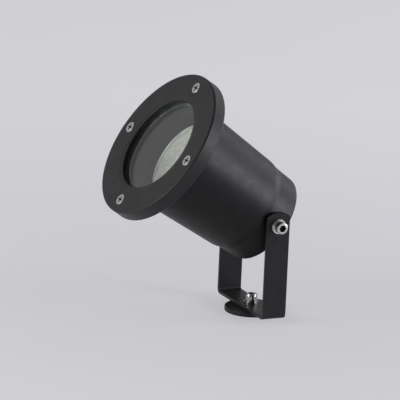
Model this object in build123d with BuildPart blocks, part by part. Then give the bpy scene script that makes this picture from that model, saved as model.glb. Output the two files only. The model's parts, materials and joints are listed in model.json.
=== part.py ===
from build123d import *
import os
from math import cos, radians, sin, sqrt, tan

# Garden spotlight: a cast lamp head that tilts in a bent strip bracket, which swivels on a round foot.
# Sizes are in millimetres. +Z is up, the origin is the middle of the foot's underside, and the head
# looks along -Y and up. Distances along the head are counted forwards from the pivot axis.

os.makedirs("parts", exist_ok=True)

# Room between pieces, on the radius
RUN_CLEARANCE = 0.08
THREAD_CLEARANCE = 0.05
FIT_CLEARANCE = 0.3

# Pose and stance
PIVOT_HEIGHT = 61.0
HEAD_ANGLE = 35.5

# Foot
FOOT_DIAMETER = 32.0
FOOT_THICKNESS = 3.0
FOOT_EDGE = 0.6
FOOT_FLOOR = 0.5
BOLT_END_GAP = 0.2

# Bracket strip
STRIP_WIDTH = 15.0
STRIP_THICKNESS = 2.0
STRIP_EDGE = 0.35
BEND_RADIUS = 1.2
ARM_RISE = 8.4
ARM_TOP_RADIUS = 12.0

# Socket cap screws and their washers
CAP_THREAD_DIAMETER = 4.0
CAP_HEAD_DIAMETER = 7.0
CAP_HEAD_HEIGHT = 4.0
CAP_HEAD_EDGE = 0.4
CAP_SOCKET = 3.0
CAP_SOCKET_DEPTH = 2.4
FLAT_WASHER_DIAMETER = 9.0
FLAT_WASHER_THICKNESS = 0.8
SPRING_WASHER_DIAMETER = 7.6
SPRING_WASHER_THICKNESS = 0.9
SPRING_WASHER_SPLIT = 0.7
WASHER_PLAY = 0.15
PIVOT_BOLT_LENGTH = 8.0

# Lamp with a twist-lock base
LAMP_DIAMETER = 50.0
LAMP_LENGTH = 45.3
LAMP_RIM_HEIGHT = 7.0
LAMP_RIM_STEP = 0.9
LAMP_WALL = 1.6
LAMP_BOWL_RADIUS = 34.0
LAMP_COVER_THICKNESS = 2.0
LAMP_COVER_LEDGE = 1.0
LAMP_COVER_PLAY = 0.1
LAMP_CAP_LENGTH = 14.5
LAMP_CAP_DIAMETER = 26.0
LAMP_CAP_FOOT_DIAMETER = 23.0
PIN_SPACING = 10.0
PIN_LENGTH = 7.0
PIN_DIAMETER = 3.0
PIN_HEAD_DIAMETER = 5.0
PIN_HEAD_HEIGHT = 2.2

# Lamp housing
LAMP_ROOM = 2.61
CAN_WALL = 2.7
STEP_RISE = 1.17
STEP_AHEAD = 12.6
STEP_LENGTH = 4.8
STEP_ROUNDING = 10.0
CAN_DRAFT = 3.37
FRONT_WALL = 3.91
REAR_REACH = 8.0
REAR_WALL = 3.0
REAR_EDGE = 2.6
FLANGE_THICKNESS = 3.4
FLANGE_FILLET = 1.0
FLANGE_MARGIN = 4.2
PAD_HEIGHT = 1.32
PAD_SETBACK = 1.0
BOSS_DIAMETER = 11.0
BOSS_END = 1.5
THREAD_RUNOUT = 0.7

# Bezel, glass and seals
LENS_AIR = 15.4
GLASS_THICKNESS = 4.0
GLASS_EDGE = 0.5
GLASS_OVERLAP = 3.0
LIP_THICKNESS = 3.0
LIP_EDGE = 0.4
LIP_DISH_WIDTH = 3.3
LIP_DISH_DEPTH = 0.3
BEZEL_REGISTER = 1.2
BEZEL_EDGE = 0.9
SKIRT_EDGE = 0.7
SKIRT_OVERHANG = 0.5
SKIRT_WALL = 3.5
LENS_GASKET_THICKNESS = 1.0
LENS_GASKET_LIP = 0.8
FLANGE_GASKET_THICKNESS = 0.8
SCREW_MARGIN = 6.7
BEZEL_SCREW_COUNT = 4
BEZEL_SCREW_DIAMETER = 3.5
BEZEL_SCREW_HEAD = 7.0
BEZEL_SCREW_SHORT = 0.4
BEZEL_HOLE_PLAY = 0.2
CROSS_LENGTH = 4.0
CROSS_WIDTH = 1.0
CROSS_DEPTH = 1.4

# Lampholder, its bracket and the wiring
POST_HEIGHT = 8.0
POST_DIAMETER = 6.4
POST_MARGIN = 5.8
PLATE_THICKNESS = 1.5
PLATE_END = 3.0
HOLDER_DEPTH = 9.8
HOLDER_WIDTH = 19.0
HOLDER_EDGE = 3.0
HOLDER_SCREW_INSET = 4.5
HOLDER_BORE_DEPTH = 5.0
SMALL_SCREW_DIAMETER = 3.0
SMALL_SCREW_HEAD = 5.5
SMALL_SCREW_HEAD_HEIGHT = 2.0
SLOT_WIDTH = 0.8
SLOT_DEPTH = 0.9
BLOCK_GAP = 1.5
BLOCK_WIDTH = 10.0
BLOCK_LENGTH = 18.0
BLOCK_HEIGHT = 8.5
BLOCK_EDGE = 0.6
TERMINAL_SPACING = 9.0
TERMINAL_SCREW_INSET = 3.0
TERMINAL_SCREW_DIAMETER = 4.0
TERMINAL_SCREW_DEPTH = 5.0
TERMINAL_SCREW_PROUD = 0.4
LEAD_DIAMETER = 1.8
LEAD_INSET = 2.8
LEAD_DROP = 6.5
LEAD_BEND = 3.0
EARTH_OFFSET = 15.0
EARTH_TAG_DIAMETER = 8.4
EARTH_TAG_THICKNESS = 0.8
EARTH_SCREW_DIAMETER = 4.0
EARTH_SCREW_HEAD = 7.6
EARTH_SCREW_HEAD_HEIGHT = 2.6
EARTH_SCREW_DEPTH = 2.2

# Cable gland
GLAND_THREAD_DIAMETER = 12.0
GLAND_HEX = 15.0
GLAND_HEX_HEIGHT = 3.0
GLAND_THREAD_END = 0.8
LOCKNUT_HEIGHT = 2.6
ORING_THICKNESS = 1.0
ORING_DIAMETER = 14.6
SEAL_BORE = 6.6
SEAL_DIAMETER = 8.7
SEAL_LENGTH = 6.0
SEAL_PROUD = 0.6
COLLAR_DIAMETER = 11.2
COLLAR_LENGTH = 4.4
DOME_WALL = 1.6
DOME_END = 1.6
DOME_EDGE = 1.2
DOME_MOUTH = 7.8

# Stations along the head, counted forwards from the pivot
rear_face = -REAR_REACH
floor = rear_face + REAR_WALL
plate_rear = floor + POST_HEIGHT
holder_rear = plate_rear + PLATE_THICKNESS
holder_front = holder_rear + HOLDER_DEPTH
lamp_face = holder_front + LAMP_LENGTH
glass_back = lamp_face + LENS_AIR
glass_front = glass_back + GLASS_THICKNESS
front_face = glass_front + LIP_THICKNESS
lip_front = front_face - LIP_DISH_DEPTH
bezel_back = glass_front - BEZEL_REGISTER
flange_front = bezel_back - FLANGE_GASKET_THICKNESS
flange_rear = flange_front - FLANGE_THICKNESS
seat = glass_back - LENS_GASKET_THICKNESS
skirt_rear = flange_rear - SKIRT_OVERHANG

# Radii of the head, worked out from the lamp outwards
lamp_radius = LAMP_DIAMETER / 2
cavity_step_radius = lamp_radius + LAMP_ROOM
step_radius = cavity_step_radius + CAN_WALL
step_foot = STEP_AHEAD - STEP_LENGTH
foot_radius = step_radius - STEP_RISE
draft_slope = tan(radians(CAN_DRAFT))
pivot_radius = foot_radius - step_foot * draft_slope
rear_radius = foot_radius - (step_foot - rear_face) * draft_slope
cavity_foot_radius = foot_radius - CAN_WALL
cavity_rear_radius = cavity_foot_radius - (step_foot - floor) * draft_slope
can_front_radius = step_radius + (flange_rear - STEP_AHEAD) * draft_slope
opening_radius = can_front_radius - FRONT_WALL
glass_radius = opening_radius + GLASS_OVERLAP
glass_bore = glass_radius + FIT_CLEARANCE
screw_circle = glass_bore + SCREW_MARGIN
flange_radius = screw_circle + FLANGE_MARGIN
skirt_bore = flange_radius + FIT_CLEARANCE
bezel_radius = skirt_bore + SKIRT_WALL

# Bracket and screw places
arm_inner = pivot_radius + PAD_HEIGHT
arm_outer = arm_inner + STRIP_THICKNESS
arm_top = PIVOT_HEIGHT + ARM_RISE
strip_top = FOOT_THICKNESS + STRIP_THICKNESS
washer_stack = FLAT_WASHER_THICKNESS + SPRING_WASHER_THICKNESS
base_bolt_seat = strip_top + washer_stack
pivot_bolt_seat = arm_outer + washer_stack
cap_hole_radius = CAP_THREAD_DIAMETER / 2 + RUN_CLEARANCE
cap_thread_radius = CAP_THREAD_DIAMETER / 2 + THREAD_CLEARANCE
washer_bore = CAP_THREAD_DIAMETER + 2 * WASHER_PLAY

# Planes of the head: HEAD faces forwards, SIDE holds half-sections as (radius, distance ahead)
tilt = radians(HEAD_ANGLE)
PIVOT = Vector(0, 0, PIVOT_HEIGHT)
FORWARD = Vector(0, -cos(tilt), sin(tilt))
UPWARD = Vector(0, sin(tilt), cos(tilt))
HEAD = Plane(origin=PIVOT, x_dir=(1, 0, 0), z_dir=FORWARD)
SIDE = Plane(origin=PIVOT, x_dir=UPWARD, z_dir=(1, 0, 0))
HEAD_AXIS = Axis(PIVOT, FORWARD)


def pivot_plane(side, distance):
    """Plane square to the pivot axis, looking outwards on one side of the head."""
    return Plane(origin=(side * distance, 0, PIVOT_HEIGHT), x_dir=(0, 1, 0), z_dir=(side, 0, 0))


def section_plane(base):
    """Plane through a base plane's normal, with that normal as its vertical direction."""
    return Plane(origin=base.origin, x_dir=base.x_dir, z_dir=base.y_dir * -1)


def cap_screws(seats, length):
    """Socket cap screws with their heads on the given planes and their shanks running back."""
    with BuildPart() as screws:
        for under_head in seats:
            with BuildSketch(section_plane(under_head)) as half:
                Rectangle(CAP_HEAD_DIAMETER / 2, CAP_HEAD_HEIGHT, align=(Align.MIN, Align.MIN))
                Rectangle(CAP_THREAD_DIAMETER / 2, length, align=(Align.MIN, Align.MAX))
                rim = half.vertices().group_by(Axis.Y)[-1].sort_by(Axis.X)[-1]
                fillet(rim, radius=CAP_HEAD_EDGE)
                tip = half.vertices().group_by(Axis.Y)[0].sort_by(Axis.X)[-1]
                chamfer(tip, length=CAP_HEAD_EDGE)
            revolve(axis=Axis(under_head.origin, under_head.z_dir))
            with BuildSketch(under_head.offset(CAP_HEAD_HEIGHT)):
                RegularPolygon(radius=CAP_SOCKET / 2, side_count=6, major_radius=False)
            extrude(amount=-CAP_SOCKET_DEPTH, mode=Mode.SUBTRACT)
    return screws


def flat_washers(bases):
    """Plain washers standing on the given planes."""
    with BuildPart() as washers:
        for base in bases:
            with BuildSketch(base):
                Circle(FLAT_WASHER_DIAMETER / 2)
                Circle(washer_bore / 2, mode=Mode.SUBTRACT)
            extrude(amount=FLAT_WASHER_THICKNESS)
    return washers


def spring_washers(bases):
    """Split spring washers standing on the given planes."""
    with BuildPart() as washers:
        for base in bases:
            with BuildSketch(base):
                Circle(SPRING_WASHER_DIAMETER / 2)
                Circle(washer_bore / 2, mode=Mode.SUBTRACT)
                Rectangle(
                    SPRING_WASHER_DIAMETER,
                    SPRING_WASHER_SPLIT,
                    align=(Align.MIN, Align.CENTER),
                    mode=Mode.SUBTRACT,
                )
            extrude(amount=SPRING_WASHER_THICKNESS)
    return washers


def slotted_screws(seats, diameter, head_diameter, head_height, length):
    """Slotted screws with flat heads on the given planes and their shanks running back."""
    with BuildPart() as screws:
        for under_head in seats:
            with BuildSketch(under_head):
                Circle(head_diameter / 2)
            extrude(amount=head_height)
            with BuildSketch(under_head):
                Circle(diameter / 2)
            extrude(amount=-length)
            with BuildSketch(under_head.offset(head_height)):
                Rectangle(head_diameter, SLOT_WIDTH)
            extrude(amount=-SLOT_DEPTH, mode=Mode.SUBTRACT)
    return screws


def head_plane(across, along, ahead):
    """Plane facing forwards at a place in the head: across it, up it, and ahead of the pivot."""
    return Plane(HEAD.from_local_coords((across, along, ahead)), (1, 0, 0), FORWARD)


def keep(piece, name):
    """Label a finished piece and write it as its own file."""
    piece.part.label = name
    export_step(piece.part, f"parts/{name}.step")


# Foot: a plain turned disc with a blind tapped hole for the base bolt
with BuildPart() as foot_disc:
    with BuildSketch(Plane.XY):
        Circle(FOOT_DIAMETER / 2)
    extrude(amount=FOOT_THICKNESS)
    fillet(foot_disc.edges().filter_by(GeomType.CIRCLE), radius=FOOT_EDGE)
    with BuildSketch(Plane.XY.offset(FOOT_FLOOR)):
        Circle(cap_thread_radius)
    extrude(amount=FOOT_THICKNESS - FOOT_FLOOR, mode=Mode.SUBTRACT)
keep(foot_disc, "foot_disc")

# Bracket: flat strip bent to a U, with rounded arm tops and three plain holes
with BuildPart() as u_bracket:
    with BuildSketch(Plane.XZ) as strip_side:
        with BuildLine():
            Polyline(
                (-arm_outer, arm_top),
                (-arm_outer, FOOT_THICKNESS),
                (arm_outer, FOOT_THICKNESS),
                (arm_outer, arm_top),
                (arm_inner, arm_top),
                (arm_inner, strip_top),
                (-arm_inner, strip_top),
                (-arm_inner, arm_top),
                close=True,
            )
        make_face()
        outer_bends = strip_side.vertices().group_by(Axis.Y)[0]
        fillet(outer_bends, radius=BEND_RADIUS + STRIP_THICKNESS)
        inner_bends = [v for v in strip_side.vertices() if abs(v.Y - strip_top) < 1e-6]
        fillet(inner_bends, radius=BEND_RADIUS)
    strip_half = STRIP_WIDTH / 2
    extrude(amount=strip_half, both=True)
    shoulder = arm_top - ARM_TOP_RADIUS + sqrt(ARM_TOP_RADIUS**2 - strip_half**2)
    with BuildSketch(Plane.YZ):
        with BuildLine():
            ThreePointArc((-strip_half, shoulder), (0, arm_top), (strip_half, shoulder))
            Polyline(
                (strip_half, shoulder),
                (strip_half, 0),
                (-strip_half, 0),
                (-strip_half, shoulder),
            )
        make_face()
    extrude(amount=arm_outer, both=True, mode=Mode.INTERSECT)
    side_faces = u_bracket.faces().filter_by(Axis.Y)
    fillet(side_faces.edges(), radius=STRIP_EDGE)
    with BuildSketch(Plane.YZ):
        with Locations((0, PIVOT_HEIGHT)):
            Circle(cap_hole_radius)
    extrude(amount=arm_outer, both=True, mode=Mode.SUBTRACT)
    with BuildSketch(Plane.XY):
        Circle(cap_hole_radius)
    extrude(amount=strip_top, mode=Mode.SUBTRACT)
keep(u_bracket, "u_bracket")

# Base bolt with its two washers, clamping the bracket to the foot
base_flat_washer = flat_washers([Plane.XY.offset(strip_top)])
keep(base_flat_washer, "base_flat_washer")

base_spring_washer = spring_washers([Plane.XY.offset(strip_top + FLAT_WASHER_THICKNESS)])
keep(base_spring_washer, "base_spring_washer")

base_bolt_length = base_bolt_seat - FOOT_FLOOR - BOLT_END_GAP
base_bolt = cap_screws([Plane.XY.offset(base_bolt_seat)], base_bolt_length)
keep(base_bolt, "base_bolt")

# Lamp housing: a tapered can, stepped in at the rear so that the bracket arms clear it
with BuildPart() as lamp_housing:
    with BuildSketch(SIDE) as can:
        with BuildLine():
            Polyline(
                (0, rear_face),
                (rear_radius, rear_face),
                (foot_radius, step_foot),
                (step_radius, STEP_AHEAD),
                (can_front_radius, flange_rear),
                (flange_radius, flange_rear),
                (flange_radius, flange_front),
                (0, flange_front),
                close=True,
            )
        make_face()
        fillet(can.vertices().sort_by_distance((rear_radius, rear_face))[0], radius=REAR_EDGE)
        fillet(can.vertices().sort_by_distance((can_front_radius, flange_rear))[0], radius=FLANGE_FILLET)
        fillet(can.vertices().sort_by_distance((foot_radius, step_foot))[0], radius=STEP_ROUNDING)
        fillet(can.vertices().sort_by_distance((step_radius, STEP_AHEAD))[0], radius=STEP_ROUNDING)
    revolve(axis=HEAD_AXIS)
    with BuildSketch(Plane.YZ):
        with Locations((0, PIVOT_HEIGHT)):
            Circle(REAR_REACH - PAD_SETBACK)
    extrude(amount=arm_inner, both=True)
    with BuildSketch(SIDE):
        with BuildLine():
            Polyline(
                (0, floor),
                (cavity_rear_radius, floor),
                (cavity_foot_radius, step_foot),
                (cavity_step_radius, STEP_AHEAD),
                (opening_radius, seat),
                (glass_bore, seat),
                (glass_bore, flange_front),
                (0, flange_front),
                close=True,
            )
        make_face()
    revolve(axis=HEAD_AXIS, mode=Mode.SUBTRACT)
    # Blind bosses for the pivot bolts, inside the wall
    thread_end = pivot_bolt_seat - PIVOT_BOLT_LENGTH - THREAD_RUNOUT
    boss_end = thread_end - BOSS_END
    for side in (-1, 1):
        with BuildSketch(pivot_plane(side, boss_end)):
            Circle(BOSS_DIAMETER / 2)
        extrude(amount=rear_radius - CAN_WALL / 2 - boss_end)
        with BuildSketch(pivot_plane(side, arm_inner)):
            Circle(cap_thread_radius)
        extrude(amount=thread_end - arm_inner, mode=Mode.SUBTRACT)
    # Two posts that carry the lampholder's bracket
    post_offset = cavity_rear_radius - POST_MARGIN
    small_thread_radius = SMALL_SCREW_DIAMETER / 2 + THREAD_CLEARANCE
    with BuildSketch(HEAD.offset(floor)):
        with Locations((0, post_offset), (0, -post_offset)):
            Circle(POST_DIAMETER / 2)
    extrude(amount=POST_HEIGHT)
    with BuildSketch(HEAD.offset(plate_rear)):
        with Locations((0, post_offset), (0, -post_offset)):
            Circle(small_thread_radius)
    extrude(amount=-POST_HEIGHT, mode=Mode.SUBTRACT)
    # Tapped holes for the bezel screws, the earth screw and the gland
    with BuildSketch(HEAD.offset(flange_front)):
        with PolarLocations(screw_circle, BEZEL_SCREW_COUNT):
            Circle(BEZEL_SCREW_DIAMETER / 2 + THREAD_CLEARANCE)
    extrude(amount=-FLANGE_THICKNESS, mode=Mode.SUBTRACT)
    with BuildSketch(HEAD.offset(floor)):
        with Locations((-EARTH_OFFSET, 0)):
            Circle(EARTH_SCREW_DIAMETER / 2 + THREAD_CLEARANCE)
    extrude(amount=-EARTH_SCREW_DEPTH, mode=Mode.SUBTRACT)
    with BuildSketch(HEAD.offset(floor)):
        Circle(GLAND_THREAD_DIAMETER / 2 + THREAD_CLEARANCE)
    extrude(amount=-REAR_WALL, mode=Mode.SUBTRACT)
keep(lamp_housing, "lamp_housing")

# Bezel: ring that caps the flange, with a lip over the glass that is slightly dished towards
# the opening, and countersunk screw holes
with BuildPart() as front_bezel:
    with BuildSketch(SIDE) as ring:
        with BuildLine():
            Polyline(
                (opening_radius, glass_front),
                (opening_radius, lip_front),
                (opening_radius + LIP_DISH_WIDTH, front_face),
                (bezel_radius, front_face),
                (bezel_radius, skirt_rear),
                (skirt_bore, skirt_rear),
                (skirt_bore, bezel_back),
                (glass_bore, bezel_back),
                (glass_bore, glass_front),
                close=True,
            )
        make_face()
        fillet(ring.vertices().sort_by_distance((opening_radius, lip_front))[0], radius=LIP_EDGE)
        fillet(ring.vertices().sort_by_distance((bezel_radius, front_face))[0], radius=BEZEL_EDGE)
        fillet(ring.vertices().sort_by_distance((bezel_radius, skirt_rear))[0], radius=SKIRT_EDGE)
    revolve(axis=HEAD_AXIS)
    with Locations(HEAD.offset(front_face)):
        with PolarLocations(screw_circle, BEZEL_SCREW_COUNT):
            CounterSinkHole(
                radius=BEZEL_SCREW_DIAMETER / 2 + BEZEL_HOLE_PLAY,
                counter_sink_radius=BEZEL_SCREW_HEAD / 2 + BEZEL_HOLE_PLAY,
                counter_sink_angle=90,
            )
keep(front_bezel, "front_bezel")

with BuildPart() as bezel_screws:
    head_depth = (BEZEL_SCREW_HEAD - BEZEL_SCREW_DIAMETER) / 2
    top_down = (Align.CENTER, Align.CENTER, Align.MAX)
    with Locations(HEAD.offset(front_face)):
        with PolarLocations(screw_circle, BEZEL_SCREW_COUNT):
            Cone(BEZEL_SCREW_DIAMETER / 2, BEZEL_SCREW_HEAD / 2, head_depth, align=top_down)
            Cylinder(BEZEL_SCREW_DIAMETER / 2, front_face - flange_rear - BEZEL_SCREW_SHORT, align=top_down)
    with BuildSketch(HEAD.offset(front_face)):
        with PolarLocations(screw_circle, BEZEL_SCREW_COUNT):
            Rectangle(CROSS_LENGTH, CROSS_WIDTH)
            Rectangle(CROSS_WIDTH, CROSS_LENGTH)
    extrude(amount=-CROSS_DEPTH, mode=Mode.SUBTRACT)
keep(bezel_screws, "bezel_screws")

# Front glass and the two seals
with BuildPart() as lens_glass:
    with BuildSketch(HEAD.offset(glass_back)):
        Circle(glass_radius)
    extrude(amount=GLASS_THICKNESS)
    chamfer(lens_glass.edges().filter_by(GeomType.CIRCLE), length=GLASS_EDGE)
keep(lens_glass, "lens_glass")

with BuildPart() as lens_gasket:
    with BuildSketch(HEAD.offset(seat)):
        Circle(glass_radius)
        Circle(opening_radius - LENS_GASKET_LIP, mode=Mode.SUBTRACT)
    extrude(amount=LENS_GASKET_THICKNESS)
keep(lens_gasket, "lens_gasket")

with BuildPart() as flange_gasket:
    with BuildSketch(HEAD.offset(flange_front)):
        Circle(flange_radius)
        Circle(glass_bore + FIT_CLEARANCE, mode=Mode.SUBTRACT)
        with PolarLocations(screw_circle, BEZEL_SCREW_COUNT):
            Circle(BEZEL_SCREW_DIAMETER / 2 + BEZEL_HOLE_PLAY, mode=Mode.SUBTRACT)
    extrude(amount=FLANGE_GASKET_THICKNESS)
keep(flange_gasket, "flange_gasket")

# Lamp: bowl reflector with a front cover, on a cap with two headed pins
cap_top = holder_front + LAMP_CAP_LENGTH
rim_foot = lamp_face - LAMP_RIM_HEIGHT
cover_back = lamp_face - LAMP_COVER_THICKNESS
bowl_radius = lamp_radius - LAMP_RIM_STEP
rim_bore = lamp_radius - LAMP_WALL
ledge_bore = rim_bore - LAMP_COVER_LEDGE
cap_radius = LAMP_CAP_DIAMETER / 2
cap_bore = cap_radius - LAMP_WALL

with BuildPart() as lamp_reflector:
    with BuildSketch(SIDE):
        with BuildLine():
            RadiusArc((cap_radius, cap_top), (bowl_radius, rim_foot), LAMP_BOWL_RADIUS)
            Polyline(
                (bowl_radius, rim_foot),
                (lamp_radius, rim_foot),
                (lamp_radius, lamp_face),
                (rim_bore, lamp_face),
                (rim_bore, cover_back),
                (ledge_bore, cover_back),
                (ledge_bore, rim_foot),
            )
            RadiusArc((ledge_bore, rim_foot), (cap_bore, cap_top), -LAMP_BOWL_RADIUS)
            Line((cap_bore, cap_top), (cap_radius, cap_top))
        make_face()
    revolve(axis=HEAD_AXIS)
keep(lamp_reflector, "lamp_reflector")

with BuildPart() as lamp_cover:
    with BuildSketch(HEAD.offset(cover_back)):
        Circle(rim_bore - LAMP_COVER_PLAY)
    extrude(amount=LAMP_COVER_THICKNESS)
keep(lamp_cover, "lamp_cover")

with BuildPart() as lamp_cap:
    with BuildSketch(SIDE):
        with BuildLine():
            Polyline(
                (0, holder_front),
                (LAMP_CAP_FOOT_DIAMETER / 2, holder_front),
                (cap_radius, cap_top),
                (0, cap_top),
                close=True,
            )
        make_face()
    revolve(axis=HEAD_AXIS)
keep(lamp_cap, "lamp_cap")

with BuildPart() as lamp_pins:
    with BuildSketch(HEAD.offset(holder_front)):
        with GridLocations(0, PIN_SPACING, 1, 2):
            Circle(PIN_DIAMETER / 2)
    extrude(amount=-PIN_LENGTH)
    with BuildSketch(HEAD.offset(holder_front - PIN_LENGTH)):
        with GridLocations(0, PIN_SPACING, 1, 2):
            Circle(PIN_HEAD_DIAMETER / 2)
    extrude(amount=PIN_HEAD_HEIGHT)
keep(lamp_pins, "lamp_pins")

# Lampholder on its bracket plate
holder_half = post_offset - PLATE_END
screw_across = HOLDER_WIDTH / 2 - HOLDER_SCREW_INSET
screw_along = holder_half - HOLDER_SCREW_INSET
holder_screw_places = [(screw_across, screw_along), (-screw_across, -screw_along)]
holder_bore_floor = holder_front - HOLDER_BORE_DEPTH
post_places = [(0, post_offset), (0, -post_offset)]
small_hole_radius = SMALL_SCREW_DIAMETER / 2 + BEZEL_HOLE_PLAY

with BuildPart() as lampholder:
    with BuildSketch(HEAD.offset(holder_rear)):
        RectangleRounded(HOLDER_WIDTH, 2 * holder_half, HOLDER_EDGE)
        with Locations(*holder_screw_places):
            Circle(small_hole_radius, mode=Mode.SUBTRACT)
    extrude(amount=HOLDER_DEPTH)
    with BuildSketch(HEAD.offset(holder_front)):
        with GridLocations(0, PIN_SPACING, 1, 2):
            Circle(PIN_HEAD_DIAMETER / 2 + FIT_CLEARANCE)
    extrude(amount=-PIN_LENGTH - FIT_CLEARANCE, mode=Mode.SUBTRACT)
    with BuildSketch(HEAD.offset(holder_front)):
        with Locations(*holder_screw_places):
            Circle(SMALL_SCREW_HEAD / 2 + FIT_CLEARANCE)
    extrude(amount=-HOLDER_BORE_DEPTH, mode=Mode.SUBTRACT)
keep(lampholder, "lampholder")

with BuildPart() as holder_bracket:
    with BuildSketch(HEAD.offset(plate_rear)):
        RectangleRounded(HOLDER_WIDTH, 2 * (post_offset + PLATE_END), HOLDER_EDGE)
        with Locations(*holder_screw_places):
            Circle(small_thread_radius, mode=Mode.SUBTRACT)
        with Locations(*post_places):
            Circle(small_hole_radius, mode=Mode.SUBTRACT)
    extrude(amount=PLATE_THICKNESS)
keep(holder_bracket, "holder_bracket")

holder_screws = slotted_screws(
    [head_plane(across, along, holder_bore_floor) for across, along in holder_screw_places],
    SMALL_SCREW_DIAMETER,
    SMALL_SCREW_HEAD,
    SMALL_SCREW_HEAD_HEIGHT,
    holder_bore_floor - plate_rear,
)
keep(holder_screws, "holder_screws")

bracket_screws = slotted_screws(
    [head_plane(across, along, holder_rear) for across, along in post_places],
    SMALL_SCREW_DIAMETER,
    SMALL_SCREW_HEAD,
    SMALL_SCREW_HEAD_HEIGHT,
    PLATE_THICKNESS + POST_HEIGHT / 2,
)
keep(bracket_screws, "bracket_screws")

# Terminal block on the rear wall, with two leads up to the lampholder
block_inner = HOLDER_WIDTH / 2 + BLOCK_GAP
block_top = floor + BLOCK_HEIGHT
clamp_across = block_inner + BLOCK_WIDTH - TERMINAL_SCREW_INSET
lead_across = block_inner + LEAD_INSET
clamp_places = [(clamp_across, TERMINAL_SPACING / 2), (clamp_across, -TERMINAL_SPACING / 2)]

with BuildPart() as terminal_block:
    with BuildSketch(HEAD.offset(floor)):
        with Locations((block_inner + BLOCK_WIDTH / 2, 0)):
            RectangleRounded(BLOCK_WIDTH, BLOCK_LENGTH, BLOCK_EDGE)
    extrude(amount=BLOCK_HEIGHT)
    with BuildSketch(HEAD.offset(block_top)):
        with Locations(*clamp_places):
            Circle(TERMINAL_SCREW_DIAMETER / 2 + THREAD_CLEARANCE)
    extrude(amount=-TERMINAL_SCREW_DEPTH, mode=Mode.SUBTRACT)
keep(terminal_block, "terminal_block")

with BuildPart() as terminal_screws:
    with BuildSketch(HEAD.offset(block_top - TERMINAL_SCREW_DEPTH)):
        with Locations(*clamp_places):
            Circle(TERMINAL_SCREW_DIAMETER / 2)
    extrude(amount=TERMINAL_SCREW_DEPTH + TERMINAL_SCREW_PROUD)
    with BuildSketch(HEAD.offset(block_top + TERMINAL_SCREW_PROUD)):
        with Locations(*clamp_places):
            Rectangle(TERMINAL_SCREW_DIAMETER, SLOT_WIDTH)
    extrude(amount=-SLOT_DEPTH, mode=Mode.SUBTRACT)
keep(terminal_screws, "terminal_screws")

with BuildPart() as lamp_leads:
    for along in (TERMINAL_SPACING / 2, -TERMINAL_SPACING / 2):
        lead_height = block_top + LEAD_DROP
        leave = HEAD.from_local_coords((HOLDER_WIDTH / 2, along, lead_height))
        turn = HEAD.from_local_coords((lead_across, along, lead_height))
        enter = HEAD.from_local_coords((lead_across, along, block_top))
        with BuildLine() as lead_path:
            FilletPolyline(leave, turn, enter, radius=LEAD_BEND)
        with BuildSketch(Plane(origin=leave, z_dir=(1, 0, 0))):
            Circle(LEAD_DIAMETER / 2)
        sweep(path=lead_path.wires()[0])
keep(lamp_leads, "lamp_leads")

# Earth point on the rear wall
with BuildPart() as earth_tag:
    with BuildSketch(HEAD.offset(floor)):
        with Locations((-EARTH_OFFSET, 0)):
            Circle(EARTH_TAG_DIAMETER / 2)
            Circle(EARTH_SCREW_DIAMETER / 2 + BEZEL_HOLE_PLAY, mode=Mode.SUBTRACT)
    extrude(amount=EARTH_TAG_THICKNESS)
keep(earth_tag, "earth_tag")

earth_screw = slotted_screws(
    [head_plane(-EARTH_OFFSET, 0, floor + EARTH_TAG_THICKNESS)],
    EARTH_SCREW_DIAMETER,
    EARTH_SCREW_HEAD,
    EARTH_SCREW_HEAD_HEIGHT,
    EARTH_SCREW_DEPTH + EARTH_TAG_THICKNESS - THREAD_CLEARANCE,
)
keep(earth_screw, "earth_screw")

# Cable gland in the middle of the rear wall
gland_thread_radius = GLAND_THREAD_DIAMETER / 2
gland_shoulder = rear_face - ORING_THICKNESS
collar_start = gland_shoulder - GLAND_HEX_HEIGHT
collar_end = collar_start - COLLAR_LENGTH
seal_end = collar_end - SEAL_PROUD
seal_start = seal_end + SEAL_LENGTH
thread_top = floor + LOCKNUT_HEIGHT + GLAND_THREAD_END
dome_radius = COLLAR_DIAMETER / 2 + THREAD_CLEARANCE + DOME_WALL
dome_end = seal_end - DOME_END

with BuildPart() as gland_oring:
    with BuildSketch(HEAD.offset(gland_shoulder)):
        Circle(ORING_DIAMETER / 2)
        Circle(gland_thread_radius + THREAD_CLEARANCE, mode=Mode.SUBTRACT)
    extrude(amount=ORING_THICKNESS)
keep(gland_oring, "gland_oring")

with BuildPart() as gland_body:
    with BuildSketch(HEAD.offset(collar_start)):
        RegularPolygon(radius=GLAND_HEX / 2, side_count=6, major_radius=False)
    extrude(amount=GLAND_HEX_HEIGHT)
    with BuildSketch(HEAD.offset(gland_shoulder)):
        Circle(gland_thread_radius)
    extrude(amount=thread_top - gland_shoulder)
    with BuildSketch(HEAD.offset(collar_end)):
        Circle(COLLAR_DIAMETER / 2)
    extrude(amount=COLLAR_LENGTH)
    with BuildSketch(HEAD.offset(collar_end)):
        Circle(SEAL_DIAMETER / 2 + THREAD_CLEARANCE)
    extrude(amount=seal_start - collar_end, mode=Mode.SUBTRACT)
    with BuildSketch(HEAD.offset(collar_end)):
        Circle(SEAL_BORE / 2 + FIT_CLEARANCE)
    extrude(amount=thread_top - collar_end, mode=Mode.SUBTRACT)
keep(gland_body, "gland_body")

with BuildPart() as gland_locknut:
    with BuildSketch(HEAD.offset(floor)):
        RegularPolygon(radius=GLAND_HEX / 2, side_count=6, major_radius=False)
        Circle(gland_thread_radius + THREAD_CLEARANCE, mode=Mode.SUBTRACT)
    extrude(amount=LOCKNUT_HEIGHT)
keep(gland_locknut, "gland_locknut")

with BuildPart() as gland_seal:
    with BuildSketch(HEAD.offset(seal_end)):
        Circle(SEAL_DIAMETER / 2)
        Circle(SEAL_BORE / 2, mode=Mode.SUBTRACT)
    extrude(amount=SEAL_LENGTH)
keep(gland_seal, "gland_seal")

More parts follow.
